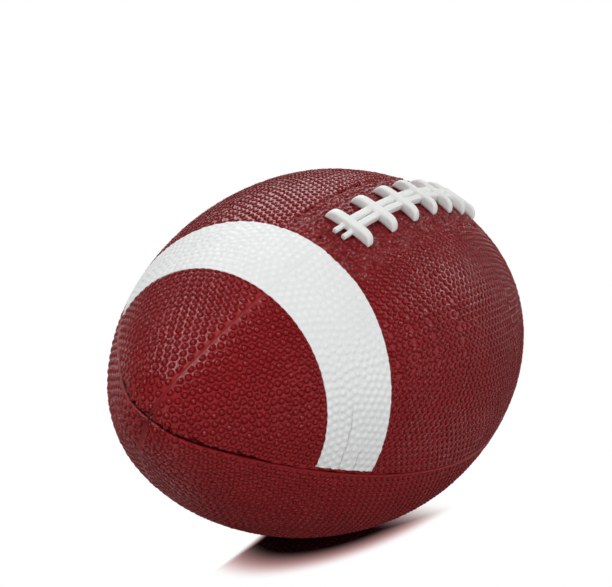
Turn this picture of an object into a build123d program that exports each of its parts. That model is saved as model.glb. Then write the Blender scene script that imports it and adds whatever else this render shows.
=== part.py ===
from build123d import *
import os
from math import asin, atan2, cos, degrees, radians, sin, sqrt

# A moulded rubber american football, lying on its belly on a level floor.
# Millimetres, +Z up. The long axis is X, the origin is the middle of the ball, and the laces are
# rolled from straight up towards -Y, as the ball lies.

# Outer form: a belly arc, a flank arc and a round tip, each tangent to the next, turned about X
belly_radius = 78.0
half_length = 140.0
belly_curve = 131.0
belly_reach = 12.0
tip_radius = 27.0
lace_roll = 30.0

# Layers, from the outside in
cover_thickness = 2.0
winding_thickness = 0.8
bladder_thickness = 1.0
layer_gap = 0.1
seam_width = 0.6

# Painted stripe: a white film on the two upper panels, near each tip
stripe_start = 42.8
stripe_width = 29.5
film_thickness = 0.3
film_gap = 0.05
stripe_stop = 2.0

# Lace strip: crossbars on two rails that end in low stubs, with a thin web between the rails
lace_shift = 1.6
bar_count = 7
bar_pitch = 17.3
bar_half_length = 10.9
bar_width = 4.4
bar_height = 4.3
bar_sink = 3.0
bar_shoulder = 5.2
bar_round = 0.9
rail_gap = 1.2
rail_width = 2.7
rail_height = 3.0
rail_overhang = 7.0
stub_gap = 2.2
stub_width = 2.1
stub_height = 2.0
web_height = 1.4

# Valve: a rubber housing on the bladder, with an insert that takes the inflating needle
valve_turn = 225.0
stem_radius = 4.0
stem_inside = 9.0
stem_recess = 0.3
stem_clearance = 0.1
flange_radius = 10.0
flange_thickness = 1.6
insert_radius = 2.4
insert_length = 11.0
insert_clearance = 0.05
needle_radius = 1.2
needle_depth = 7.0

# The flank arc follows from the belly arc and the tip
belly_lean = asin(belly_reach / belly_curve)
belly_out = Vector(sin(belly_lean), cos(belly_lean))
belly_end = Vector(0, belly_radius - belly_curve) + belly_out * belly_curve
tip_centre = Vector(half_length - tip_radius, 0)
tip_to_belly = belly_end - tip_centre
flank_curve = (tip_to_belly.dot(tip_to_belly) - tip_radius**2) / (
    2 * (tip_to_belly.dot(belly_out) - tip_radius)
)
flank_centre = belly_end - belly_out * flank_curve
flank_out = (tip_centre - flank_centre).normalized()
flank_lean = atan2(flank_out.X, flank_out.Y)

# Depths of the layers below the outer face
winding_depth = cover_thickness + layer_gap
bladder_depth = winding_depth + winding_thickness + layer_gap
cavity_depth = bladder_depth + bladder_thickness

# A block this wide covers a quarter of the ball
block_size = 2 * belly_radius

# The ball with its laces up, before the roll
laces_up = Plane(
    origin=(0, 0, 0),
    x_dir=(1, 0, 0),
    z_dir=(0, -sin(radians(lace_roll)), cos(radians(lace_roll))),
)


def half_profile(depth):
    """Draws the closed outline above the long axis, at a depth below the outer face."""
    tip_angle = 90 - degrees(flank_lean)
    flank_span = degrees(flank_lean - belly_lean)
    belly_angle = 90 - degrees(belly_lean)
    CenterArc((tip_centre.X, 0), tip_radius - depth, 0, tip_angle)
    CenterArc((flank_centre.X, flank_centre.Y), flank_curve - depth, tip_angle, flank_span)
    CenterArc((0, belly_radius - belly_curve), belly_curve - depth, belly_angle, 2 * degrees(belly_lean))
    CenterArc((-flank_centre.X, flank_centre.Y), flank_curve - depth, 180 - belly_angle, flank_span)
    CenterArc((-tip_centre.X, 0), tip_radius - depth, 180 - tip_angle, tip_angle)
    Line((depth - half_length, 0), (half_length - depth, 0))


def layer_section(depth, thickness):
    """Sketches the half section of a closed layer that starts at a depth below the outer face."""
    with BuildSketch(Plane.XZ) as section:
        with BuildLine():
            half_profile(depth)
        make_face()
        with BuildLine():
            half_profile(depth + thickness)
        make_face(mode=Mode.SUBTRACT)
    return section.sketch


def solid_section(depth):
    """Sketches the half section of everything inside a depth below the outer face."""
    with BuildSketch(Plane.XZ) as section:
        with BuildLine():
            half_profile(depth)
        make_face()
    return section.sketch


def surface_radius(x):
    """Radius of the outer face at a place along the axis, between the two tip arcs."""
    reach = abs(x)
    if reach < belly_end.X:
        return belly_radius - belly_curve + sqrt(belly_curve**2 - reach**2)
    return flank_centre.Y + sqrt(flank_curve**2 - (reach - flank_centre.X) ** 2)


def surface_lean(x):
    """How far the outer face's normal leans along the axis, in radians."""
    reach = abs(x)
    if reach < belly_end.X:
        lean = asin(reach / belly_curve)
    else:
        lean = asin((reach - flank_centre.X) / flank_curve)
    return lean if x >= 0 else -lean


def surface_plane(x, turn):
    """Plane that touches the outer face at x, turned about the axis from the lace line."""
    angle = radians(turn + lace_roll)
    radial = Vector(0, -sin(angle), cos(angle))
    lean = surface_lean(x)
    outward = radial * cos(lean) + Vector(sin(lean), 0, 0)
    along = Vector(cos(lean), 0, 0) - radial * sin(lean)
    return Plane(origin=radial * surface_radius(x) + Vector(x, 0, 0), x_dir=along, z_dir=outward)


def quarter_place(side, level, lace_margin, side_margin):
    """Place of the block that keeps one quarter, clear of the lace line's plane and the side seams'."""
    y = side * (block_size / 2 + lace_margin)
    z = level * (block_size / 2 + side_margin)
    return laces_up.location * Location((0, y, z))


def lace_runners(height, length, width, offsets):
    """Runners that follow the outer face along the laces, one at each offset from the lace line."""
    with BuildPart() as runners:
        revolve(layer_section(-height, height - layer_gap), axis=Axis.X)
        with BuildSketch(laces_up):
            with Locations(*[(lace_shift, offset) for offset in offsets]):
                Rectangle(length, width)
        extrude(amount=2 * belly_radius, mode=Mode.INTERSECT)
    return runners.part


valve_plane = surface_plane(0, valve_turn)

# Bladder: an airtight rubber bag with one hole for the valve
with BuildPart() as bladder:
    revolve(layer_section(bladder_depth, bladder_thickness), axis=Axis.X)
    with BuildSketch(valve_plane):
        Circle(stem_radius + stem_clearance)
    extrude(amount=-2 * cavity_depth, mode=Mode.SUBTRACT)
bladder.part.label = "bladder"

# Winding: nylon thread wound over the bladder to one even layer
with BuildPart() as winding:
    revolve(layer_section(winding_depth, winding_thickness), axis=Axis.X)
    with BuildSketch(valve_plane):
        Circle(stem_radius + stem_clearance)
    extrude(amount=-2 * cavity_depth, mode=Mode.SUBTRACT)
winding.part.label = "nylon_winding"

# Valve housing: a flange under the bladder and a stem that comes up through every layer
with BuildPart() as valve_housing:
    revolve(solid_section(cavity_depth + layer_gap), axis=Axis.X)
    with BuildSketch(valve_plane):
        Circle(flange_radius)
    extrude(amount=-(cavity_depth + layer_gap + flange_thickness), mode=Mode.INTERSECT)
    with BuildSketch(valve_plane.offset(-stem_recess)):
        Circle(stem_radius)
    extrude(amount=-(cavity_depth + stem_inside))
    with BuildSketch(valve_plane.offset(-stem_recess)):
        Circle(insert_radius + insert_clearance)
    extrude(amount=-(insert_length + insert_clearance), mode=Mode.SUBTRACT)
valve_housing.part.label = "valve_housing"

# Valve insert: a soft plug with a blind hole for the needle
with BuildPart() as valve_insert:
    with BuildSketch(valve_plane.offset(-stem_recess)):
        Circle(insert_radius)
    extrude(amount=-insert_length)
    with BuildSketch(valve_plane.offset(-stem_recess)):
        Circle(needle_radius)
    extrude(amount=-needle_depth, mode=Mode.SUBTRACT)
valve_insert.part.label = "valve_insert"

# Cover panels: four quarters of the pebbled rubber cover, a seam apart
cover_panels = []
for level_name, level in (("upper", 1), ("lower", -1)):
    for side_name, side in (("near", -1), ("far", 1)):
        with BuildPart() as cover_panel:
            revolve(layer_section(0, cover_thickness), axis=Axis.X)
            with Locations(quarter_place(side, level, seam_width / 2, seam_width / 2)):
                Box(2 * half_length, block_size, block_size, mode=Mode.INTERSECT)
            if level_name == "lower" and side_name == "far":
                with BuildSketch(valve_plane):
                    Circle(stem_radius + stem_clearance)
                extrude(amount=2 * winding_depth, both=True, mode=Mode.SUBTRACT)
        cover_panel.part.label = f"cover_panel_{level_name}_{side_name}"
        cover_panels.append(cover_panel.part)

# Stripe films: white paint on the upper panels, stopping short of the side seams
stripe_films = []
for end_name, end in (("front", -1), ("rear", 1)):
    stripe_middle = end * (half_length - stripe_start - stripe_width / 2)
    for side_name, side in (("near", -1), ("far", 1)):
        with BuildPart() as stripe_film:
            revolve(layer_section(-film_gap - film_thickness, film_thickness), axis=Axis.X)
            film_place = quarter_place(side, 1, seam_width / 2, stripe_stop)
            with Locations(Location((stripe_middle, 0, 0)) * film_place):
                Box(stripe_width, block_size, block_size, mode=Mode.INTERSECT)
        stripe_film.part.label = f"stripe_{end_name}_{side_name}"
        stripe_films.append(stripe_film.part)

# One crossbar, standing on a flat face: round shoulders and edges, its underside cut later
with BuildPart() as crossbar:
    with BuildSketch(Plane.YZ) as bar_outline:
        with Locations((0, -bar_sink)):
            Rectangle(2 * bar_half_length, bar_height + bar_sink, align=(Align.CENTER, Align.MIN))
        fillet(bar_outline.vertices().group_by(Axis.Y)[-1], bar_shoulder)
    extrude(amount=bar_width / 2, both=True)
    bar_sides = crossbar.faces().sort_by(Axis.X)
    fillet(bar_sides[0].edges() + bar_sides[-1].edges(), bar_round)

# Lace strip: one white moulding that follows the ball along the top seam
lace_span = bar_pitch * (bar_count - 1)
bar_places = [lace_shift + bar_pitch * i - lace_span / 2 for i in range(bar_count)]
rail_middle = (rail_gap + rail_width) / 2
stub_middle = (stub_gap + stub_width) / 2
with BuildPart() as crossbars:
    with Locations(*[surface_plane(x, 0).location for x in bar_places]):
        add(crossbar.part)
    revolve(solid_section(-layer_gap), axis=Axis.X, mode=Mode.SUBTRACT)
rails = lace_runners(rail_height, lace_span, rail_width, (-rail_middle, rail_middle))
stubs = lace_runners(stub_height, lace_span + 2 * rail_overhang, stub_width, (-stub_middle, stub_middle))
web = lace_runners(web_height, lace_span, rail_gap, (0,))
with BuildPart() as lace_strip:
    add(rails)
    add(stubs)
    add(web)
    add(crossbars.part)
lace_strip.part.label = "lace_strip"

os.makedirs("parts", exist_ok=True)
pieces = [bladder.part, winding.part, valve_housing.part, valve_insert.part, lace_strip.part]
for piece in pieces + cover_panels + stripe_films:
    export_step(piece, f"parts/{piece.label}.step")
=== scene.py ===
import bpy
import math
import numpy as np
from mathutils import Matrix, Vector, kdtree, noise


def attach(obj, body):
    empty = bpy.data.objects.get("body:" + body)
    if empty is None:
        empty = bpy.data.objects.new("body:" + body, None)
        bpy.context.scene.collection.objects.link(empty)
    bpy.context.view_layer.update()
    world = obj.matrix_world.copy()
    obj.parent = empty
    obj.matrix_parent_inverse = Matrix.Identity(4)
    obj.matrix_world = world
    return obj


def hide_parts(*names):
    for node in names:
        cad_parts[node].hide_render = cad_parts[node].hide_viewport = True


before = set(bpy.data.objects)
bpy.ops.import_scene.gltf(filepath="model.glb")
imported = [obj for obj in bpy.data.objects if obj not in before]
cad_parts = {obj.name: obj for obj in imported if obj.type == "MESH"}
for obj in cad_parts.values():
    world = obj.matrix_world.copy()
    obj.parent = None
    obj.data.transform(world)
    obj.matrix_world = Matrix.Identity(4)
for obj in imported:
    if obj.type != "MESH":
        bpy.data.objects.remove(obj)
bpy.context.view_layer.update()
mm = 0.001


def plug(tree, value, socket):
    if isinstance(value, Wire):
        tree.links.new(value.socket, socket)
    elif isinstance(value, tuple) and len(value) < len(socket.default_value):
        socket.default_value = (*value, 1.0)
    else:
        socket.default_value = value


class Wire:
    # one socket: sums written on it become Math nodes
    def __init__(self, tree, socket):
        self.tree = tree
        self.socket = socket

    def sum(self, operation, first, second):
        node = self.tree.nodes.new("ShaderNodeMath")
        node.operation = operation
        plug(self.tree, first, node.inputs[0])
        plug(self.tree, second, node.inputs[1])
        return Wire(self.tree, node.outputs[0])

    def __add__(self, other):
        return self.sum("ADD", self, other)

    def __radd__(self, other):
        return self.sum("ADD", other, self)

    def __sub__(self, other):
        return self.sum("SUBTRACT", self, other)

    def __rsub__(self, other):
        return self.sum("SUBTRACT", other, self)

    def __mul__(self, other):
        return self.sum("MULTIPLY", self, other)

    def __rmul__(self, other):
        return self.sum("MULTIPLY", other, self)

    def __pow__(self, other):
        return self.sum("POWER", self, other)

    def atMost(self, other):
        return self.sum("MINIMUM", self, other)

    def atLeast(self, other):
        return self.sum("MAXIMUM", self, other)


class Finish:
    # a node tree, and the one way that nodes get into it
    def __init__(self, name, owner=None):
        self.owner = owner or bpy.data.materials.new(name)
        self.owner.use_nodes = True
        self.tree = self.owner.node_tree
        self.tree.nodes.clear()

    def add(self, kind, settings, values, out=0):
        node = self.tree.nodes.new("ShaderNode" + kind)
        for key, value in settings.items():
            setattr(node, key, value)
        for key, value in values.items():
            plug(self.tree, value, node.inputs[key])
        return Wire(self.tree, node.outputs[out]) if len(node.outputs) else None

    def place(self):
        return self.add("TexCoord", {}, {}, "Object")

    def mark(self, name):
        # a number that the mesh carries at each point
        return self.add("Attribute", {"attribute_name": name}, {}, "Fac")

    def spread(self, low, high, value):
        # 0 at low, 1 at high, eased between
        return self.add("MapRange", {"interpolation_type": "SMOOTHSTEP"},
                        {"Value": value, "From Min": low, "From Max": high})

    def tint(self, factor, first, second):
        return self.add("Mix", {"data_type": "RGBA", "blend_type": "MIX"},
                        {0: factor, 6: first, 7: second}, 2)

    def speckle(self, place, size, detail, rough):
        # noise with spots of a size in millimetres
        return self.add("TexNoise", {}, {"Vector": place, "Scale": 1 / (size * mm),
                                         "Detail": detail, "Roughness": rough})

    def bump(self, height):
        return self.add("Bump", {}, {"Height": height, "Distance": 1.0, "Strength": 1.0})

    def close(self, values):
        shader = self.add("BsdfPrincipled", {}, values)
        self.add("OutputMaterial", {}, {"Surface": shader})
        return self.owner


# Cover: dark red moulded rubber. In every look, noise is given as size, detail and roughness, and a fade
# as where it starts and ends
coverLook = {
    # deep is the colour of the painted shade at pebble feet, in stipple creases and in the seams' grooves
    "red": (0.235, 0.0085, 0.011), "fresh": (0.275, 0.012, 0.015), "deep": (0.05, 0.001, 0.002),
    "lip": (0.21, 0.007, 0.009), "mottle": (14.0, 5.0, 0.62), "mottleFade": (0.35, 0.68), "mottleShare": 0.7,
    "grain": (0.45, 3.0, 0.6), "grainFade": (0.3, 0.7), "grainShare": 0.3, "grainDepth": 0.05,
    "rimShade": 0.18, "rimFade": (0.76, 0.98), "footFade": (1.2, 1.0), "grooveShadeFade": (-0.62, -1.25),
    "stippleSize": 2.2, "stippleDepth": 1.0, "stippleFade": (0.75, 0.0), "creaseShade": 0.5,
    "creaseFade": (0.35, 0.75), "beadDepth": 1.60, "rough": 0.16, "roughSpread": 0.10, "valleyRough": 0.05,
    "valleyFade": (0.8, 1.1), "bedRough": 0.07, "seamRough": 0.22, "seamFade": (1.4, 1.5), "shine": 0.36,
}


def makeCoverRubber():
    look = coverLook
    f = Finish("coverRubber")
    place = f.place()
    relief, stipple, bead, lip = (f.mark(name) for name in ("relief", "stipple", "bead", "lip"))
    mottle = f.speckle(place, *look["mottle"])
    grain = f.speckle(place, *look["grain"])
    cells = f.add("TexVoronoi", {}, {"Vector": place, "Scale": 1 / (look["stippleSize"] * mm)}, "Distance")
    worn = f.spread(*look["mottleFade"], mottle) * look["mottleShare"] + grain * look["grainShare"]
    colour = f.tint(worn, look["red"], look["fresh"])
    # painted shade: the colour darkens at the foot of each pebble and in the creases of the stipple, where
    # least light gets
    rim = f.spread(*look["rimFade"], bead) * f.spread(*look["footFade"], bead)
    shade = rim * look["rimShade"] * (1 - stipple)
    shade = shade.atLeast(f.spread(*look["creaseFade"], cells) * stipple * look["creaseShade"])
    colour = f.tint(shade, colour, look["deep"])
    # painted shade: the colour darkens in the seams' grooves, the deeper the darker
    colour = f.tint(f.spread(*look["grooveShadeFade"], relief), colour, look["deep"])
    colour = f.tint(lip, colour, look["lip"])
    rough = look["rough"] + look["roughSpread"] * f.spread(*look["grainFade"], grain)
    rough = rough + look["valleyRough"] * f.spread(*look["valleyFade"], bead) + look["bedRough"] * stipple
    rough = rough + look["seamRough"] * f.spread(*look["seamFade"], bead)
    inside = bead.atMost(1.0)
    crown = (1 - inside * inside) ** 0.5 * (1 - stipple)  # keeps the pebbles' rims crisp
    height = grain * (look["grainDepth"] * mm)
    height = height + f.spread(*look["stippleFade"], cells) * stipple * (look["stippleDepth"] * mm)
    height = height + crown * (look["beadDepth"] * mm)
    return f.close({"Base Color": colour, "Roughness": rough, "Normal": f.bump(height),
                    "Specular IOR Level": look["shine"]})


# Stripes: white flexible paint that softens the pebbles under it
stripeLook = {
    "white": (0.84, 0.855, 0.85), "dullAndShade": (0.77, 0.785, 0.78), "crack": (0.30, 0.27, 0.25),
    "cloud": (22.0, 4.0, 0.6), "cloudFade": (0.4, 0.75), "cloudShare": 0.6, "valleyFade": (-0.05, -0.19),
    "valleyShadeShare": 0.75, "crackFade": (0.3, 0.6), "grain": (0.5, 3.0, 0.6), "grainFade": (0.3, 0.7),
    "grainDepth": 0.02, "beadFade": (1.15, 0.2), "beadDepth": 0.25, "rough": 0.42, "roughSpread": 0.14,
    "shine": 0.4,
}


def makeStripePaint():
    look = stripeLook
    f = Finish("stripePaint")
    place = f.place()
    relief, bead, crack = (f.mark(name) for name in ("relief", "bead", "crack"))
    cloud = f.speckle(place, *look["cloud"])
    grain = f.speckle(place, *look["grain"])
    colour = f.tint(f.spread(*look["cloudFade"], cloud) * look["cloudShare"], look["white"], look["dullAndShade"])
    # painted shade: the paint turns duller in the hollows between the pebbles
    colour = f.tint(f.spread(*look["valleyFade"], relief) * look["valleyShadeShare"], colour, look["dullAndShade"])
    colour = f.tint(crack * f.spread(*look["crackFade"], grain), colour, look["crack"])
    rough = look["rough"] + look["roughSpread"] * f.spread(*look["grainFade"], grain)
    height = grain * (look["grainDepth"] * mm) + f.spread(*look["beadFade"], bead) * (look["beadDepth"] * mm)
    return f.close({"Base Color": colour, "Roughness": rough, "Normal": f.bump(height),
                    "Specular IOR Level": look["shine"]})


# Laces: soft white vinyl, with painted shade that greys it where it lies low, close to the cover
laceLook = {
    "white": (0.82, 0.83, 0.815), "shadeGrey": (0.60, 0.60, 0.58), "lowShade": 0.35, "lowShadeSpread": 0.5,
    "lowShadeFade": (1.3, 0.0), "cloud": (9.0, 4.0, 0.6), "cloudFade": (0.35, 0.7), "grain": (0.45, 3.0, 0.6),
    "grainFade": (0.3, 0.7), "grainDepth": 0.015, "rough": 0.38, "roughSpread": 0.16, "shine": 0.5,
}


def makeLaceVinyl():
    look = laceLook
    f = Finish("laceVinyl")
    place = f.place()
    cloud = f.speckle(place, *look["cloud"])
    grain = f.speckle(place, *look["grain"])
    # painted shade: greyer close to the cover, by an amount that varies with noise
    lowShade = look["lowShade"] + look["lowShadeSpread"] * f.spread(*look["cloudFade"], cloud)
    colour = f.tint(f.spread(*look["lowShadeFade"], f.mark("relief")) * lowShade, look["white"], look["shadeGrey"])
    rough = look["rough"] + look["roughSpread"] * f.spread(*look["grainFade"], grain)
    bump = f.bump(grain * (look["grainDepth"] * mm))
    return f.close({"Base Color": colour, "Roughness": rough, "Normal": bump,
                    "Specular IOR Level": look["shine"]})


# Inner pieces: black butyl bag, wound nylon and the valve's black rubber
innerLooks = {
    "bladderRubber": {"light": (0.040, 0.040, 0.042), "dark": (0.022, 0.022, 0.024), "fade": (0.3, 0.7),
                      "cloud": (6.0, 5.0, 0.65), "depth": 0.03, "rough": 0.45, "roughSpread": 0.15},
    "valveRubber": {"light": (0.060, 0.054, 0.048), "dark": (0.030, 0.027, 0.025), "fade": (0.3, 0.7),
                    "cloud": (0.6, 5.0, 0.65), "depth": 0.03, "rough": 0.55, "roughSpread": 0.15},
}


def makeInnerRubber(name):
    look = innerLooks[name]
    f = Finish(name)
    cloud = f.speckle(f.place(), *look["cloud"])
    colour = f.tint(f.spread(*look["fade"], cloud), look["dark"], look["light"])
    rough = look["rough"] + look["roughSpread"] * cloud
    bump = f.bump(cloud * (look["depth"] * mm))
    return f.close({"Base Color": colour, "Roughness": rough, "Normal": bump})


nylonLook = {"thread": (0.76, 0.74, 0.67), "shade": (0.42, 0.40, 0.34), "tilts": (0.5, -0.62, 1.35),
             "lean": 0.3, "threadSize": 0.45, "waveScale": 0.314, "waver": 1.5, "waverDetail": 1.0,
             "depth": 0.12, "rough": 0.75, "roughSpread": 0.2}


def makeWindingNylon():
    look = nylonLook
    f = Finish("windingNylon")
    place = f.place()
    scale = look["waveScale"] / (look["threadSize"] * mm)
    threads = []
    for tilt in look["tilts"]:  # three lays of thread that cross
        leaned = f.add("Mapping", {}, {"Vector": place, "Rotation": (tilt, look["lean"] * tilt, tilt)})
        values = {"Vector": leaned, "Scale": scale, "Distortion": look["waver"],
                  "Detail": look["waverDetail"]}
        threads.append(f.add("TexWave", {"wave_type": "BANDS"}, values, "Fac"))
    weave = threads[0].atLeast(threads[1]).atLeast(threads[2])
    colour = f.tint(weave, look["shade"], look["thread"])
    rough = look["rough"] - look["roughSpread"] * weave
    bump = f.bump(weave * (look["depth"] * mm))
    return f.close({"Base Color": colour, "Roughness": rough, "Normal": bump})


finishes = {
    "cover_rubber": makeCoverRubber(), "stripe_paint": makeStripePaint(), "lace_vinyl": makeLaceVinyl(),
    "bladder_rubber": makeInnerRubber("bladderRubber"), "valve_rubber": makeInnerRubber("valveRubber"),
    "winding_nylon": makeWindingNylon(),
}
print("finishes made:", len(finishes))


# Form of the ball in millimetres, as the solids have it: run is the way along the profile from the near
# tip, turn is the angle round the long axis from the lace line, towards the camera's side
ballForm = {"bellyRadius": 78.0, "halfLength": 140.0, "bellyCurve": 131.0, "bellyReach": 12.0,
            "tipRadius": 27.0, "laceRoll": 30.0}
bellyLean = math.asin(ballForm["bellyReach"] / ballForm["bellyCurve"])
bellyOut = np.array([math.sin(bellyLean), math.cos(bellyLean)])
bellyMid = np.array([0.0, ballForm["bellyRadius"] - ballForm["bellyCurve"]])
tipMid = np.array([ballForm["halfLength"] - ballForm["tipRadius"], 0.0])
bellyEnd = bellyMid + bellyOut * ballForm["bellyCurve"]
tipToBelly = bellyEnd - tipMid
flankCurve = (tipToBelly @ tipToBelly - ballForm["tipRadius"] ** 2) / (
    2 * (tipToBelly @ bellyOut - ballForm["tipRadius"]))
flankMid = bellyEnd - bellyOut * flankCurve
flankLean = math.atan2(tipMid[0] - flankMid[0], -flankMid[1])

# The profile's five arcs: tip, flank, belly, flank and tip
arcLeans = np.array([-math.pi / 2, -flankLean, -bellyLean, bellyLean, flankLean, math.pi / 2])
arcCurves = np.array([ballForm["tipRadius"], flankCurve, ballForm["bellyCurve"], flankCurve,
                      ballForm["tipRadius"]])
arcMids = np.array([tipMid * (-1, 1), flankMid * (-1, 1), bellyMid, flankMid, tipMid])
arcRuns = np.concatenate([[0.0], np.cumsum(arcCurves * np.diff(arcLeans))])
wholeRun = arcRuns[-1]
laceRoll = math.radians(ballForm["laceRoll"])
quarter = math.pi / 2


def profileAt(run):
    run = np.asarray(run, float)
    lean = np.interp(run, arcRuns, arcLeans)
    part = np.clip(np.searchsorted(arcRuns, run, side="right") - 1, 0, len(arcCurves) - 1)
    x = arcMids[part, 0] + arcCurves[part] * np.sin(lean)
    radius = arcMids[part, 1] + arcCurves[part] * np.cos(lean)
    return x, np.maximum(radius, 1e-4), lean


runTable = np.linspace(0, wholeRun, 8001)  # fine enough to look a run up by its x
runPlaces = profileAt(runTable)[0]


def runAt(x):
    return np.interp(x, runPlaces, runTable)


def onBall(run, turn, height=0.0):
    x, radius, lean = profileAt(run)
    out = radius + height * np.cos(lean)
    angle = turn + laceRoll
    place = np.broadcast_arrays(x + height * np.sin(lean), -out * np.sin(angle), out * np.cos(angle))
    return np.stack(place, -1)


def ease(low, high, value):
    t = np.clip((value - low) / (high - low), 0, 1)
    return t * t * (3 - 2 * t)


def wander(spots, size, shift=0.0):
    # smooth noise from -1 to 1 at points in millimetres; each shift gives another pattern
    return np.array([noise.noise(p) for p in (spots / size + shift).tolist()])


# Pebbles: seeds in staggered rows on each panel, round the tips and along the belly, pushed apart until
# they settle
pebbleForm = {"pitch": 3.25, "rowStep": 2.82, "tipX": -84.0, "firstRow": 2.4, "tipRoom": 2.0,
              "seamRoom": 1.5, "seamShare": 0.45, "jitter": 0.30, "settleSteps": 12, "neighbours": 6,
              "reach": 3.5, "push": 0.3, "size": 1.36, "sizeSpread": 0.07, "sizeLimits": (0.82, 1.15),
              "depth": 0.48, "tallSpread": 0.12, "tallLimits": (0.7, 1.2), "flatness": 2.0, "crown": 0.8}
panelNames = ["upper_near", "lower_near", "lower_far", "upper_far"]  # in the order of their turn
upperNear, lowerFar, upperFar = 0, 2, 3
upperPanels = (upperNear, upperFar)
random = np.random.default_rng(20)


def grow(points):
    tree = kdtree.KDTree(len(points))
    for number, point in enumerate(points.tolist()):
        tree.insert(point, number)
    tree.balance()
    return tree


def sowPebbles(panel):
    form = pebbleForm
    start = panel * quarter
    runs, turns = [], []
    tipRows = np.arange(form["firstRow"], float(runAt(form["tipX"])), form["rowStep"])
    bellyRows = np.arange(tipRows[-1] + form["rowStep"], wholeRun - tipRows[-1] - form["tipRoom"],
                          form["pitch"] / 2)
    rows = [(run, form["pitch"]) for run in np.concatenate([tipRows, wholeRun - tipRows])]
    rows += [(run, 2 * form["rowStep"]) for run in bellyRows]
    for number, (run, pitch) in enumerate(rows):
        radius = float(profileAt(run)[1])
        room = radius * quarter - 2 * form["seamRoom"]
        count = max(1, round(room / pitch)) if room > 0 else 0
        stagger = 0.25 + 0.5 * (number % 2)
        across = form["seamRoom"] + (np.arange(count) + stagger) * room / max(count, 1)
        runs.append(np.full(count, run))
        turns.append(start + across / radius)
    runs, turns = np.concatenate(runs), np.concatenate(turns)
    runs = runs + random.normal(0, form["jitter"], len(runs))
    turns = turns + random.normal(0, form["jitter"], len(runs)) / profileAt(runs)[1]
    for step in range(form["settleSteps"]):
        spots = onBall(runs, turns)
        tree = grow(spots)
        hits = [tree.find_n(p, form["neighbours"] + 1)[1:] for p in spots.tolist()]  # the first is itself
        near = np.array([[hit[1] for hit in row] for row in hits])
        gaps = spots[:, None] - spots[near]
        lengths = np.linalg.norm(gaps, axis=-1, keepdims=True)
        pushes = (gaps / lengths * np.maximum(0, form["reach"] - lengths)).sum(1) * form["push"]
        lean = profileAt(runs)[2]
        angle = turns + laceRoll
        alongRun = np.stack([np.cos(lean), np.sin(lean) * np.sin(angle), -np.sin(lean) * np.cos(angle)], -1)
        alongTurn = np.stack([0 * angle, -np.cos(angle), -np.sin(angle)], -1)
        runs = np.clip(runs + (pushes * alongRun).sum(-1), form["tipRoom"], wholeRun - form["tipRoom"])
        radius = profileAt(runs)[1]
        margin = np.minimum(form["seamRoom"] / radius, quarter * form["seamShare"])
        turns = turns + (pushes * alongTurn).sum(-1) / radius
        turns = np.clip(turns, start + margin, start + quarter - margin)
    return runs, turns


# Lace bed: finer stipple round the laces, with moulded stitch dashes in rows beside them
bedForm = {"reach": 64.0, "half": 15.5, "fade": 6.0, "stray": 4.0, "pitch": 2.4, "rowShare": 0.9,
           "firstOffset": 0.4, "jitter": 0.55, "size": 1.25, "depth": 0.62, "level": 0.04, "roll": 0.08,
           "rollSize": 2.6}
dashForm = {"offset": 19.0, "firstX": -50.6, "step": 11.7, "count": 10, "ends": (3.9, 3.0), "width": 0.60,
            "depth": 0.6, "ridge": 0.7, "ridgePlace": 1.9, "endX": -61.4, "endOffset": 4.2}


def laceBed(x, offset, spots):
    form = bedForm
    stray = form["stray"] * (wander(spots, 5.0, 3.0) + 0.6 * wander(spots, 1.9, 8.0))
    along = ease(form["reach"] + form["fade"], form["reach"], np.abs(x) + stray)
    across = ease(form["half"] + form["fade"], form["half"], offset + stray)
    return along * across


def sowStipple(panel):
    form = bedForm
    limit = form["reach"] + form["fade"] + 2 * form["stray"]
    side = 1 if panel == upperNear else -1
    x, offset = np.meshgrid(np.arange(-limit, limit, form["pitch"]),
                            np.arange(form["firstOffset"], form["half"] + limit - form["reach"],
                                      form["pitch"] * form["rowShare"]))
    x = x.ravel() + random.uniform(-form["jitter"], form["jitter"], x.size)
    offset = offset.ravel() + random.uniform(-form["jitter"], form["jitter"], offset.size)
    runs = runAt(x)
    return runs, side * offset / profileAt(runs)[1]


seeds = []
for panel, name in enumerate(panelNames):
    runs, turns = sowPebbles(panel)
    sizes = random.normal(1, pebbleForm["sizeSpread"], len(runs)).clip(*pebbleForm["sizeLimits"])
    talls = random.normal(1, pebbleForm["tallSpread"], len(runs)).clip(*pebbleForm["tallLimits"])
    seeds.append({"tree": grow(onBall(runs, turns)), "size": sizes, "tall": talls})
    if panel in upperPanels:
        seeds[-1]["fine"] = grow(onBall(*sowStipple(panel)))
    print("pebbles sown on", name, len(runs))


def nearest(tree, spots):
    hits = [tree.find(p) for p in spots.tolist()]
    return np.array([hit[2] for hit in hits]), np.array([hit[1] for hit in hits])


# Seams: the lace line's and the bottom one are smooth grooves, the side ones are sharp with a rough lip
# below, and open up near the tips
seamForm = {"band": 0.26, "smoothDepth": 0.42, "smoothWidth": 0.85, "smoothFade": (0.5, 1.2),
            "noseWiden": 1.2, "noseDeepen": 0.8, "sharpDepth": 1.3, "sharpWidth": 0.38,
            "sharpFade": (0.7, 1.7), "gape": 2.8, "lip": 0.26, "lipPlace": 0.62, "lipWidth": 0.30,
            "lipCut": 0.26, "lipGape": 1.6, "lipWorn": 0.6,
            "noseLength": 14.0, "roughLength": 70.0, "waverSize": 4.7, "raggedSize": 1.3, "flash": 1.2,
            "flashFade": (2.2, 0.5), "flashLimits": (-1.1, 0.35), "openFade": (1.0, 0.5), "openBead": 1.5}


def smoothSeam(height, distance, run, groove):
    form = seamForm
    nose = np.exp(-np.minimum(run, wholeRun - run) / form["noseLength"])
    band = form["band"] * (0.25 + 0.75 * groove)
    height = -band + (height + band) * ease(*form["smoothFade"], distance)
    width = form["smoothWidth"] * (1 + form["noseWiden"] * nose)
    depth = form["smoothDepth"] * (1 + form["noseDeepen"] * nose)
    return height - groove * depth * np.exp(-(distance / width) ** 2)


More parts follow.
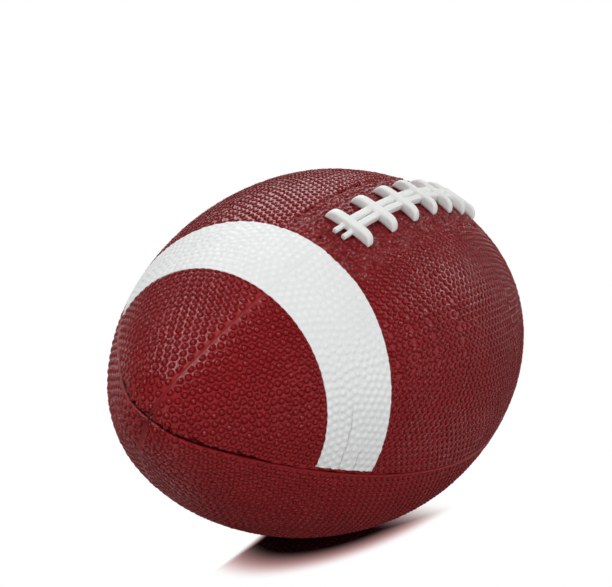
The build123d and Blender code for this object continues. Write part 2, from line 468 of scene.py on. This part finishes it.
def sharpSeam(height, distance, run, upper, spots):
    form = seamForm
    toTip = np.minimum(run, wholeRun - run)
    nose = np.exp(-toTip / form["noseLength"])
    rough = ease(form["roughLength"], 0.3 * form["roughLength"], toTip)
    line = np.stack([run, 0 * run + (7.0 if upper else 31.0), 0 * run], -1)  # a pattern for each side
    waver = wander(line, form["waverSize"]) * (0.6 + 0.5 * nose)
    ragged = wander(line, form["raggedSize"], 17.0) * (0.45 + 0.7 * nose)
    height = -form["band"] + (height + form["band"]) * ease(*form["sharpFade"], distance)
    flash = wander(spots, 1.5, 2.0) + 0.6 * wander(spots, 0.7, 4.0)  # rubber squeezed out near the nose
    flash = form["flash"] * nose * flash.clip(*form["flashLimits"])
    height = height + flash * ease(*form["flashFade"], distance)
    deep = form["sharpDepth"] * np.clip(0.75 + 0.9 * waver + 0.6 * rough, 0.15, 1.6)
    if upper:
        width = form["sharpWidth"] * (1 + 0.8 * waver + 0.4 * ragged)
        width = width * (1 + form["gape"] * rough * np.maximum(0, 0.6 + 1.2 * ragged + 0.6 * waver))
        return height - deep * np.exp(-(distance / width) ** 2)
    toLip = (distance - form["lipPlace"] - 0.15 * waver) / form["lipWidth"]
    lip = form["lip"] * np.maximum(0, 0.8 + 1.3 * ragged + 0.8 * waver) * np.exp(-toLip ** 2)
    width = form["lipCut"] * (1 + form["lipGape"] * rough * np.maximum(0, 0.5 + 1.2 * ragged))
    return height + lip * (1 - form["lipWorn"] * rough) - deep * np.exp(-(distance / width) ** 2)


# Valve: a smooth pad with a raised ring round the hole, where points near the hole's rim snap onto it
valveForm = {"turn": math.radians(225), "hole": 4.12, "holeDepth": 1.85, "holeInset": 0.1, "pad": 9.5,
             "padFade": 1.2, "padLevel": 0.18, "ring": 7.3, "ringRise": 0.16, "ringWidth": 0.7, "dip": 0.35,
             "dipReach": 5.6, "snap": 0.34, "gather": 0.92}


def coverHeight(panel, run, turn, soften=1.0, groove=1.0):
    # height of the cover's face in millimetres against the solid's, and the marks that its finish reads
    form = pebbleForm
    x, radius = profileAt(run)[:2]
    spots = onBall(run, turn)
    here = seeds[panel]
    distance, number = nearest(here["tree"], spots)
    reach = np.clip(distance / (form["size"] * here["size"][number]), 0, 1)
    dome = (1 - reach ** form["flatness"]) ** form["crown"]
    height = -form["depth"] * (1 - dome * here["tall"][number]) * soften
    bead = distance / form["size"]
    bed = np.zeros(len(run))
    start, end = panel * quarter, (panel + 1) * quarter
    if "fine" in here:
        offset = radius * (turn if panel == upperNear else end - turn)
        bed = laceBed(x, offset, spots)
        fine = nearest(here["fine"], spots)[0] / bedForm["size"]
        stipple = -bedForm["level"] - bedForm["depth"] * np.minimum(fine, 1) ** 2
        stipple = stipple + bedForm["roll"] * wander(spots, bedForm["rollSize"], 5.0)
        height = height * (1 - bed) + stipple * bed
        bead = bead * (1 - bed) + fine * bed
    if panel == upperFar:
        dash = dashForm
        dashes = [(dash["firstX"] + dash["step"] * i, dash["offset"]) for i in range(dash["count"])]
        for dashX, dashOffset in dashes + [(dash["endX"], dash["endOffset"])]:
            along = ease(*dash["ends"], np.abs(x - dashX))
            across = (offset - dashOffset) / dash["width"]
            height -= dash["depth"] * along * np.exp(-across ** 2)
            height += dash["ridge"] * dash["depth"] * along * np.exp(-(across - dash["ridgePlace"]) ** 2)
    if panel == lowerFar:
        valve = valveForm
        reach = np.hypot(x, radius * (turn - valve["turn"]))
        pad = ease(valve["pad"], valve["pad"] - valve["padFade"], reach)
        ring = valve["ringRise"] * np.exp(-((reach - valve["ring"]) / valve["ringWidth"]) ** 2)
        ring = ring - valve["dip"] * ease(valve["dipReach"], valve["hole"], reach)
        height = height * (1 - pad) + (ring - valve["padLevel"]) * pad
        height = np.where(reach < valve["hole"] - valve["holeInset"], -valve["holeDepth"], height)
    lip = np.zeros(len(run))
    for seam, distance in ((panel, radius * (turn - start)), (panel + 1, radius * (end - turn))):
        if seam % 2:
            height = sharpSeam(height, distance, run, panel in upperPanels, spots)
            if panel not in upperPanels:
                lip = np.exp(-((distance - seamForm["lipPlace"]) / (0.8 * seamForm["lipWidth"])) ** 2)
                lip *= ease(0.2, 0.9, np.minimum(run, wholeRun - run) / seamForm["roughLength"])
        else:
            height = smoothSeam(height, distance, run, groove)
    toSeam = radius * np.minimum(turn - start, end - turn)
    bead = bead + (seamForm["openBead"] - bead) * ease(*seamForm["openFade"], toSeam)  # no pebbles at a seam
    return height, {"relief": height, "stipple": bed, "bead": bead, "lip": lip}


sharpAngle = math.radians(62)


def faceOut(points, triangles):
    a, b, c = (points[triangles[:, i]] for i in range(3))
    return triangles if (a * np.cross(b, c)).sum() > 0 else triangles[:, ::-1]


def makePiece(name, points, triangles, marks, slot):
    triangles = faceOut(points, triangles)
    mesh = bpy.data.meshes.new(name)
    mesh.vertices.add(len(points))
    mesh.vertices.foreach_set("co", (points * mm).astype(np.float32).ravel())
    mesh.loops.add(triangles.size)
    mesh.loops.foreach_set("vertex_index", triangles.astype(np.int32).ravel())
    mesh.polygons.add(len(triangles))
    mesh.polygons.foreach_set("loop_start", np.arange(0, triangles.size, 3, dtype=np.int32))
    mesh.update(calc_edges=True)
    mesh.validate()
    mesh.shade_smooth()
    mesh.set_sharp_from_angle(angle=sharpAngle)
    for key, values in marks.items():
        mesh.attributes.new(key, "FLOAT", "POINT").data.foreach_set("value", values.astype(np.float32))
    mesh.materials.append(finishes[slot])
    piece = bpy.data.objects.new(name, mesh)
    bpy.context.scene.collection.objects.link(piece)
    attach(piece, "root")
    return piece


def zipRows(low, lowCount, high, highCount):
    # triangles between two rows of points that may differ in number; counts are of gaps, not points
    j = np.arange(lowCount)
    k = np.arange(highCount)
    under = np.stack([low + j, low + j + 1, high - (-(j + 1) * highCount // lowCount) - 1], -1)
    over = np.stack([high + k + 1, high + k, low + (k + 1) * lowCount // highCount], -1)
    return np.concatenate([under, over])


# Cover panels: a fine pebbled face, walls in the seams and a plain inner face
panelForm = {"spacing": 0.55, "tipSpacing": 0.4, "tipRun": 0.2, "seamGap": 0.04, "thickness": 2.0,
             "innerGaps": 6, "edge": [0.0, 0.22, 0.45, 0.70, 1.0, 1.36, 1.80],
             "innerMarks": {"relief": -0.5, "stipple": 0.0, "bead": 1.5, "lip": 0.0}}
stripeForm = {"start": 42.8, "width": 29.5, "length": 84.0, "startBow": 2.57, "endBow": 2.36, "stop": 2.0,
              "spacing": 0.42, "film": 0.03, "inlay": 0.13, "inlayFade": (0.1, 0.6), "thickness": 0.28,
              "soften": 0.40, "groove": 0.12, "ragged": 0.35, "sway": 0.12,
              "cracks": [(0.36, 34.0), (0.62, 15.0)],  # share of the width, and length
              "crackWidth": 0.22, "crackBend": 0.8, "crackBendSize": 6.0}


def stripeEdges(turn, end):
    # x of the stripe's tip side and belly side at a turn, at the near (-1) or far (1) tip
    bow = np.sin(turn) ** 2
    tipSide = ballForm["halfLength"] - stripeForm["start"] - stripeForm["startBow"] * bow
    bellySide = ballForm["halfLength"] - stripeForm["start"] - stripeForm["width"]
    return end * tipSide, end * (bellySide + stripeForm["endBow"] * bow)


def underStripe(panel, run, turn):
    # 1 well inside the painted stripes, so that the rubber there lies below the film
    x, radius = profileAt(run)[:2]
    inside = np.zeros(len(run))
    toSide = radius * np.abs((quarter if panel == upperNear else 3 * quarter) - turn)
    for end in (-1, 1):
        tipSide, bellySide = stripeEdges(turn, end)
        depth = np.minimum(np.minimum(np.abs(tipSide) - end * x, end * x - np.abs(bellySide)),
                           toSide - stripeForm["stop"] - stripeForm["ragged"])
        inside = np.maximum(inside, ease(*stripeForm["inlayFade"], depth))
    return inside


def makePanel(panel):
    form = panelForm
    name = panelNames[panel]
    rows = np.linspace(form["tipRun"], wholeRun - form["tipRun"],
                       round((wholeRun - 2 * form["tipRun"]) / form["spacing"]))
    edge = np.array(form["edge"])
    run, turn, starts, counts = [], [], [], []
    total = 0
    for radius, row in zip(profileAt(rows)[1], rows):
        width = radius * quarter - 2 * form["seamGap"]
        if width > 4 * edge[-1]:
            gaps = round((width - 2 * edge[-1]) / form["spacing"])
            middle = np.linspace(edge[-1], width - edge[-1], gaps + 1)
            across = np.concatenate([edge[:-1], middle, width - edge[-2::-1]])
        else:
            across = np.linspace(0, width, max(2, round(width / form["tipSpacing"])) + 1)
        starts.append(total)
        counts.append(len(across) - 1)
        total += len(across)
        run.append(np.full(len(across), row))
        turn.append(panel * quarter + (across + form["seamGap"]) / radius)
    run, turn = np.concatenate(run), np.concatenate(turn)
    if panel == lowerFar:  # the points nearest the valve's hole move onto its rim
        x, radius = profileAt(run)[:2]
        away = radius * (turn - valveForm["turn"])
        reach = np.hypot(x, away)
        rim, snap = valveForm["hole"], valveForm["snap"]
        target = np.where(reach < rim - snap, reach * valveForm["gather"], reach)
        target = np.where(np.abs(reach - rim) < snap, rim, target)
        scale = np.where(reach < rim + 1, target / np.maximum(reach, 0.01), 1)
        run, turn = run + x * (scale - 1), turn + away * (scale - 1) / radius
    height, marks = coverHeight(panel, run, turn)
    if panel in upperPanels:
        height = height - stripeForm["inlay"] * underStripe(panel, run, turn)
    outer = onBall(run, turn, height)

    gaps = form["innerGaps"]
    innerRun = np.repeat(rows, gaps + 1)
    innerRadius = profileAt(innerRun)[1]
    share = np.tile(np.linspace(0, 1, gaps + 1), len(rows))
    innerTurn = (panel + share) * quarter + (1 - 2 * share) * form["seamGap"] / innerRadius
    inner = onBall(innerRun, innerTurn, -form["thickness"])

    triangles = [zipRows(starts[i], counts[i], starts[i + 1], counts[i + 1]) for i in range(len(rows) - 1)]
    insides = total + np.arange(len(rows)) * (gaps + 1)
    triangles += [zipRows(insides[i], gaps, insides[i + 1], gaps)[:, ::-1] for i in range(len(rows) - 1)]
    first, last = np.array(starts), np.array(starts) + np.array(counts)
    for edgeOut, edgeIn, flip in ((first, insides, 1), (last, insides + gaps, -1)):  # walls in the seams
        wall = [(edgeOut[:-1], edgeOut[1:], edgeIn[1:]), (edgeOut[:-1], edgeIn[1:], edgeIn[:-1])]
        triangles += [np.stack(corners, -1)[:, ::flip] for corners in wall]
    triangles.append(zipRows(starts[0], counts[0], insides[0], gaps)[:, ::-1])  # the two tips
    triangles.append(zipRows(starts[-1], counts[-1], insides[-1], gaps))
    marks = {key: np.concatenate([values, np.full(len(inner), form["innerMarks"][key])])
             for key, values in marks.items()}
    piece = makePiece("cover_" + name, np.concatenate([outer, inner]), np.concatenate(triangles), marks,
                      "cover_rubber")
    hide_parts("cover_panel_" + name)
    print("cover panel", name, len(piece.data.polygons), "faces")


for panel in range(len(panelNames)):
    makePanel(panel)


# Stripes: a thin white skin on each upper panel, from the lace line down to just above the side seam
def makeStripe(panel, end):
    form = stripeForm
    sideTurn = quarter if panel == upperNear else 3 * quarter
    seamTurn = 0.0 if panel == upperNear else 4 * quarter
    lengths = round(form["length"] / form["spacing"])
    widths = round(form["width"] / form["spacing"])
    down = np.linspace(0, 1, lengths + 1)[:, None] * np.ones(widths + 1)
    wide = np.linspace(0, 1, widths + 1) * np.ones((lengths + 1, 1))
    turn = seamTurn + (sideTurn - seamTurn) * down
    for repeat in range(3):  # the ends and edges depend on each other
        tipSide, bellySide = stripeEdges(turn, end)
        x = tipSide + (bellySide - tipSide) * wide
        run = runAt(x)
        radius = profileAt(run)[1]
        places = np.stack([x[0], np.full(widths + 1, 3.0 + panel), np.zeros(widths + 1)], -1)
        frayed = form["stop"] + form["ragged"] * (wander(places, 1.7) + 0.6 * wander(places, 0.7, 9.0))
        low = np.sign(sideTurn - seamTurn) * frayed / radius[-1]
        high = np.sign(sideTurn - seamTurn) * panelForm["seamGap"] / radius[0]
        turn = (seamTurn + high) * (1 - down) + (sideTurn - low) * down
    sway = np.stack([turn[:, 0] * 60, np.full(lengths + 1, 40.0 * end), np.zeros(lengths + 1)], -1)
    swayed = wander(sway, 2.3)[:, None] * (1 - wide) + wander(sway, 2.1, 6.0)[:, None] * wide
    run, turn = (run + form["sway"] * swayed).ravel(), turn.ravel()
    height, marks = coverHeight(panel, run, turn, form["soften"], form["groove"])
    marks["crack"] = np.zeros(len(run))
    toSide = np.abs(sideTurn - turn) * profileAt(run)[1]
    for share, reach in form["cracks"]:  # each wanders up from the side seam
        line = runAt(tipSide[-1, 0] + (bellySide[-1, 0] - tipSide[-1, 0]) * share)
        places = np.stack([toSide, 0 * run + 50 * share, 0 * run + panel], -1)
        bend = form["crackBend"] * wander(places, form["crackBendSize"])
        crack = np.exp(-((run - line - bend) / form["crackWidth"]) ** 2)
        marks["crack"] += crack * ease(reach, 0.6 * reach, toSide)
    top = onBall(run, turn, height + form["film"])
    under = onBall(run, turn, height + form["film"] - form["thickness"])
    size = widths + 1
    corner = (np.arange(lengths)[:, None] * size + np.arange(widths)).ravel()
    sheet = np.concatenate([np.stack([corner, corner + 1, corner + size + 1], -1),
                            np.stack([corner, corner + size + 1, corner + size], -1)])
    count = len(top)
    grid = np.arange(count).reshape(lengths + 1, size)
    rim = np.concatenate([grid[0, :-1], grid[:-1, -1], grid[-1, :0:-1], grid[:0:-1, 0]])
    following = np.roll(rim, -1)
    wall = np.concatenate([np.stack([rim, rim + count, following + count], -1),
                           np.stack([rim, following + count, following], -1)])
    triangles = np.concatenate([sheet, sheet[:, ::-1] + count, wall])
    name = ("front" if end < 0 else "rear") + ("_near" if panel == upperNear else "_far")
    piece = makePiece("stripe_paint_" + name, np.concatenate([top, under]), triangles,
                      {key: np.tile(values, 2) for key, values in marks.items()}, "stripe_paint")
    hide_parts("stripe_" + name)
    print("stripe", name, len(piece.data.polygons), "faces")


for panel in upperPanels:
    for end in (-1, 1):
        makeStripe(panel, end)


# Laces: crossbars, two rails and the web between them, melted into one moulding
laceForm = {"barCount": 7, "barPitch": 17.3, "shift": 1.6, "barHalf": 10.95, "barWide": 4.4, "barTip": 0.85,
            "barTop": 4.3, "barSink": 1.0, "barFull": 5.5, "barSquare": 4.0, "barRings": 61, "barSides": 40,
            "barEnd": 0.995, "barLeast": 0.3, "railIn": 0.6, "railOut": 3.3, "railTop": 3.0,
            "railSquare": 6.0, "railSides": 32, "railRings": 8, "stubIn": 1.1, "stubOut": 3.2,
            "stubTop": 2.0, "stubReach": 7.0, "stubSquare": 2.6, "webTop": 1.3, "webOverlap": 0.3,
            "foot": 0.35, "voxel": 0.25, "soften": 3, "softenFactor": 0.5}


def roundLoop(count, square):
    angle = np.linspace(0, 2 * np.pi, count, endpoint=False)
    c, s = np.cos(angle), np.sin(angle)
    return np.sign(c) * np.abs(c) ** (2 / square), np.sign(s) * np.abs(s) ** (2 / square)


def skin(sections):
    # closed skin over rings of points, with a fan on each end
    count, size = sections.shape[:2]
    points = np.concatenate([sections.reshape(-1, 3), sections[:1].mean(1), sections[-1:].mean(1)])
    i, j = (grid.ravel() for grid in np.meshgrid(np.arange(count - 1), np.arange(size), indexing="ij"))
    a, b = i * size + j, i * size + (j + 1) % size
    triangles = [np.stack([a, b, b + size], -1), np.stack([a, b + size, a + size], -1)]
    k = np.arange(size)
    triangles.append(np.stack([(k + 1) % size, k, np.full(size, count * size)], -1))
    top = (count - 1) * size
    triangles.append(np.stack([top + k, top + (k + 1) % size, np.full(size, count * size + 1)], -1))
    return points, faceOut(points - points.mean(0), np.concatenate(triangles))


def makeBar(x):
    form = laceForm
    run = float(runAt(x))
    radius = float(profileAt(run)[1])
    middle = onBall(run, 0.0)
    out = onBall(run, 0.0, 1.0) - middle
    step = 0.01
    along = (onBall(run + step, 0.0) - onBall(run - step, 0.0)) / (2 * step)
    side = np.cross(out, along)
    share = np.sin(np.linspace(-1, 1, form["barRings"]) * np.pi / 2) * form["barEnd"]
    wide, tall = roundLoop(form["barSides"], form["barSquare"])
    sections = []
    for part in share:
        y = part * form["barHalf"]
        full = (1 - abs(part) ** form["barFull"]) ** 0.5
        foot = -y * y / (2 * radius) - form["foot"]
        top = max(-form["barSink"] + (form["barTop"] + form["barSink"]) * full, foot + form["barLeast"])
        half = form["barWide"] / 2 * (1 - (1 - form["barTip"]) * abs(part) ** 3)
        heights = (top + foot) / 2 + (top - foot) / 2 * tall
        sections.append(middle + side * y + np.outer(wide * half, along) + np.outer(heights, out))
    return skin(np.array(sections))


def makeRail(fromX, toX, inOffset, outOffset, top, square):
    wide, tall = roundLoop(laceForm["railSides"], square)
    foot = -laceForm["foot"]
    offsets = (inOffset + outOffset) / 2 + (outOffset - inOffset) / 2 * wide
    heights = (top + foot) / 2 + (top - foot) / 2 * tall
    sections = []
    for x in np.linspace(fromX, toX, max(laceForm["railRings"], round(abs(toX - fromX)))):
        run = float(runAt(x))
        radius = float(profileAt(run)[1])
        sections.append(onBall(np.full(len(wide), run), offsets / radius, heights))
    return skin(np.array(sections))


def makeLaces():
    form = laceForm
    middle = (form["barCount"] - 1) / 2
    bars = [form["shift"] + form["barPitch"] * (i - middle) for i in range(form["barCount"])]
    parts = [makeBar(x) for x in bars]
    for side in (-1, 1):
        parts.append(makeRail(bars[0], bars[-1], side * form["railIn"], side * form["railOut"],
                              form["railTop"], form["railSquare"]))
        for end in (bars[0], bars[-1]):
            reach = end + math.copysign(form["stubReach"], end)
            parts.append(makeRail(end, reach, side * form["stubIn"], side * form["stubOut"],
                                  form["stubTop"], form["stubSquare"]))
    webHalf = form["railIn"] + form["webOverlap"]
    parts.append(makeRail(bars[0], bars[-1], -webHalf, webHalf, form["webTop"], form["railSquare"]))
    starts = np.cumsum([0] + [len(part[0]) for part in parts])
    points = np.concatenate([part[0] for part in parts])
    triangles = np.concatenate([part[1] + start for part, start in zip(parts, starts)])
    piece = makePiece("lace_moulding", points, triangles, {}, "lace_vinyl")
    melt = piece.modifiers.new("melt", "REMESH")
    melt.mode = "VOXEL"
    melt.voxel_size = form["voxel"] * mm
    soften = piece.modifiers.new("soften", "SMOOTH")
    soften.factor = form["softenFactor"]
    soften.iterations = form["soften"]
    shaped = bpy.data.meshes.new_from_object(piece.evaluated_get(bpy.context.evaluated_depsgraph_get()))
    piece.modifiers.clear()
    piece.data = shaped
    shaped.shade_smooth()
    places = np.empty(len(shaped.vertices) * 3, np.float32)
    shaped.vertices.foreach_get("co", places)
    places = places.reshape(-1, 3) / mm
    lift = np.hypot(places[:, 1], places[:, 2]) - profileAt(runAt(places[:, 0]))[1]
    shaped.attributes.new("relief", "FLOAT", "POINT").data.foreach_set("value", lift.astype(np.float32))
    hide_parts("lace_strip")
    print("laces", len(shaped.polygons), "faces")


makeLaces()


# Inner pieces stay as the solids are
for node, slot in (("bladder", "bladder_rubber"), ("nylon_winding", "winding_nylon"),
                   ("valve_housing", "valve_rubber"), ("valve_insert", "valve_rubber")):
    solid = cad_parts[node]
    solid.data.materials.clear()
    solid.data.materials.append(finishes[slot])
print("inner pieces finished")


# Floor and backdrop: one white sweep, seen as pure white but for a patch round the ball with a painted
# shadow and a painted reflection of the ball's red
floorLook = {"level": -0.078, "radius": 4.0, "wall": 0.40, "bend": 0.30, "bendFrom": 0.2, "bendSteps": 8,
             "rings": (0.3, 1.0), "sides": 96, "white": (0.34, 0.34, 0.34), "shadowPaint": (0.02, 0.005, 0.006),
             "redReflectionPaint": (0.80, 0.46, 0.45), "gloss": 0.15, "glossRough": 0.10, "patchMiddle": (0.030, 0.002),
             "patchHalf": (0.108, 0.041), "shadowPaintFade": (0.69, 1.03), "redReflectionFade": (0.82, 1.06),
             "rightFade": (0.0, 0.05), "backLine": (-0.15, 1.0, 0.0), "backFade": (0.0185, 0.023),
             "shownFade": (0.8, 2.4)}


def makeSweepWhite():
    look = floorLook
    f = Finish("sweepWhite")
    seen, glossy, through = (f.add("LightPath", {}, {}, kind)
                             for kind in ("Is Camera Ray", "Is Glossy Ray", "Is Transmission Ray"))
    shown = (glossy + through).atMost(1.0)
    place = f.place()
    reach = f.add("VectorMath", {"operation": "LENGTH"}, {0: place}, "Value")
    # painted shadow: in a patch round the place where the ball touches, the camera sees the floor nearly
    # black
    scale = (1 / look["patchHalf"][0], 1 / look["patchHalf"][1], 0.0)
    middle = (-look["patchMiddle"][0] * scale[0], -look["patchMiddle"][1] * scale[1], 0.0)
    patch = f.add("VectorMath", {"operation": "MULTIPLY_ADD"}, {0: place, 1: scale, 2: middle})
    patchReach = f.add("VectorMath", {"operation": "LENGTH"}, {0: patch}, "Value")
    matt = f.add("BsdfDiffuse", {}, {"Color": f.tint(seen, look["white"], look["shadowPaint"])})
    gloss = f.add("BsdfGlossy", {}, {"Color": (1.0, 1.0, 1.0), "Roughness": look["glossRough"]})
    near = f.add("MixShader", {}, {0: look["gloss"], 1: matt, 2: gloss})
    # painted reflection: the ball's red is painted into the floor's glow at the patch's edge, but not at its
    # right or behind it
    toRight = f.add("SeparateXYZ", {}, {0: place}, "X")
    toBack = f.add("VectorMath", {"operation": "DOT_PRODUCT"}, {0: place, 1: look["backLine"]}, "Value")
    past = f.spread(*look["rightFade"], toRight).atLeast(f.spread(*look["backFade"], toBack))
    clear = f.spread(*look["redReflectionFade"], patchReach).atLeast(past)
    edge = f.tint(clear * seen + shown, look["redReflectionPaint"], (1.0, 1.0, 1.0))
    plain = f.add("Emission", {}, {"Color": edge, "Strength": 1.0})
    away = seen * f.spread(*look["shadowPaintFade"], patchReach).atLeast(past)
    away = away + shown * f.spread(*look["shownFade"], reach)
    f.add("OutputMaterial", {}, {"Surface": f.add("MixShader", {}, {0: away, 1: near, 2: plain})})
    return f.owner


def makeFloor():
    look = floorLook
    # rings from the middle outwards, then up a low wall all round
    flat = look["radius"] - look["bend"]
    rings = [(radius, 0.0) for radius in (*look["rings"], flat)]
    rings += [(flat + look["bend"] * math.sin(a), look["bend"] * (1 - math.cos(a)))
              for a in np.linspace(look["bendFrom"], math.pi / 2, look["bendSteps"])]
    rings.append((look["radius"], look["wall"]))
    sides = look["sides"]
    angles = np.arange(sides) * 2 * math.pi / sides
    points = [(0.0, 0.0, look["level"])]
    faces = []
    for number, (radius, rise) in enumerate(rings):
        points += [(radius * math.cos(a), radius * math.sin(a), look["level"] + rise) for a in angles]
        low, high = 1 + (number - 1) * sides, 1 + number * sides
        for i in range(sides):
            j = (i + 1) % sides
            faces.append((low + i, high + i, high + j, low + j) if number else (0, 1 + i, 1 + j))
    mesh = bpy.data.meshes.new("sweep")
    mesh.from_pydata(points, [], faces)
    mesh.shade_smooth()
    mesh.materials.append(makeSweepWhite())
    floor = bpy.data.objects.new("sweep", mesh)
    bpy.context.scene.collection.objects.link(floor)
    print("floor laid")


makeFloor()

# Camera at the photograph's place
shot = {"azimuth": -61.46, "elevation": 9.75, "distance": 0.69075, "lens": 93.70, "sensor": 36.0,
        "clipStart": 0.01, "aim": (-0.00156, 0.01077, 0.02378)}
azimuth, elevation = math.radians(shot["azimuth"]), math.radians(shot["elevation"])
back = Vector((math.sin(azimuth) * math.cos(elevation), -math.cos(azimuth) * math.cos(elevation),
               math.sin(elevation)))
right = Vector((math.cos(azimuth), math.sin(azimuth), 0))
camera = bpy.data.objects.new("camera", bpy.data.cameras.new("camera"))
camera.data.sensor_fit = "HORIZONTAL"
camera.data.sensor_width = shot["sensor"]
camera.data.lens = shot["lens"]
camera.data.clip_start = shot["clipStart"]
camera.location = Vector(shot["aim"]) + back * shot["distance"]
camera.rotation_euler = back.to_track_quat("Z", "Y").to_euler()
bpy.context.scene.collection.objects.link(camera)
bpy.context.scene.camera = camera
print("camera placed")

# Studio: square lamps behind, above and at both sides of the ball, in a dim room. Each one's place is in
# metres from the ball's middle, to the right, back towards the camera, and up
studio = {"room": 0.13, "lamps": [
    {"name": "topBack", "right": -0.10, "back": -0.75, "up": 0.80, "size": 0.65, "power": 4.5},
    {"name": "key", "right": -0.62, "back": -0.05, "up": 0.92, "size": 0.20, "power": 2.3},
    {"name": "front", "right": -0.30, "back": 0.50, "up": 0.95, "size": 0.30, "power": 3.8},
    {"name": "fill", "right": 1.2, "back": 0.75, "up": 0.35, "size": 0.9, "power": 10.8, "soft": True},
    {"name": "lowFront", "right": -0.25, "back": 0.60, "up": -0.03, "size": 0.20, "power": 1.3,
     "soft": True},
    {"name": "leftSide", "right": -0.85, "back": -0.45, "up": 0.75, "size": 0.40, "power": 1.6,
     "soft": True},
    {"name": "rightSide", "right": 1.1, "back": -0.45, "up": 0.55, "size": 0.30, "power": 2.5},
]}
level = Vector((back.x, back.y, 0)).normalized()
for lamp in studio["lamps"]:
    data = bpy.data.lights.new(lamp["name"], "AREA")
    data.shape = "SQUARE"
    data.size = lamp["size"]
    data.energy = lamp["power"]
    box = bpy.data.objects.new(lamp["name"], data)
    box.location = right * lamp["right"] + level * lamp["back"] + Vector((0, 0, lamp["up"]))
    box.rotation_euler = box.location.to_track_quat("Z", "Y").to_euler()
    box.visible_glossy = not lamp.get("soft")  # soft lamps leave no highlights of their own
    bpy.context.scene.collection.objects.link(box)

world = bpy.data.worlds.new("room")
bpy.context.scene.world = world
room = Finish("room", world)
sky = room.add("Background", {}, {"Color": (1.0, 1.0, 1.0), "Strength": studio["room"]})
room.add("OutputWorld", {}, {"Surface": sky})
bpy.context.scene.view_settings.view_transform = "Standard"
print("studio lit")
